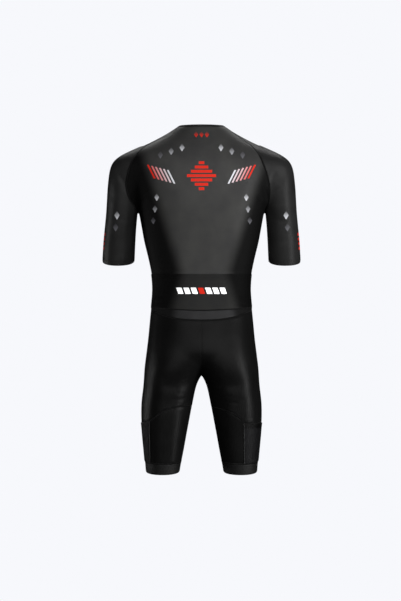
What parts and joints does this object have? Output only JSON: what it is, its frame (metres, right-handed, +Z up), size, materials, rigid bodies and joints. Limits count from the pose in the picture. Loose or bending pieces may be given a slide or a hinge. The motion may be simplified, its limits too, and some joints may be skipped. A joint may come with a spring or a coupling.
{
  "type": "triathlon suit",
  "caption": "Short-sleeved race suit for swim, bike and run, filled out as worn and empty: raglan sleeves, front zip, waist yoke, rear pocket, leg grippers and side thigh pockets.",
  "frame": {"origin": "the middle of the neck opening, level with the seam under the back of the neck binding, where the wearer's shoulders carry the suit", "axes": "+Z up along the wearer's back, -Y to the wearer's front, +X to the wearer's left"},
  "size_m": [0.5594, 0.2374, 0.9757],
  "materials": {
    "black_lycra": "smooth satin warp knit",
    "black_mesh_lycra": "fine open knit, duller than the body",
    "black_gripper_band": "dull ribbed elastic",
    "black_binding": "folded elastic binding",
    "black_zip_tape": "dull woven tape",
    "black_enamelled_zinc": "satin enamel on zinc"
  },
  "bodies": {
    "suit": {"back_bodice": "black_lycra", "rear_pocket": "black_lycra", "back_yoke": "black_mesh_lycra", "neck_binding": "black_binding", "front_bodice_left": "black_lycra", "front_bodice_right": "black_lycra", "sleeve_left": "black_lycra", "sleeve_right": "black_lycra", "zip_tape_left": "black_zip_tape", "zip_tape_right": "black_zip_tape", "shorts_back_left": "black_lycra", "shorts_back_right": "black_lycra", "shorts_front_left": "black_lycra", "shorts_front_right": "black_lycra", "thigh_panel_left": "black_lycra", "thigh_panel_right": "black_lycra", "side_panel_left": "black_lycra", "side_panel_right": "black_lycra", "side_pocket_left": "black_mesh_lycra", "side_pocket_right": "black_mesh_lycra", "leg_gripper_left": "black_gripper_band", "leg_gripper_right": "black_gripper_band", "zip_slider": "black_enamelled_zinc"},
    "pull": {"zip_pull": "black_enamelled_zinc"}
  },
  "joints": [
    {"name": "pull_swing", "type": "hinge", "parent": "suit", "child": "pull", "pos_m": [0, -0.08125, -0.0591], "axis": [-1, 0, 0], "range_deg": [0, 150]}
  ]
}
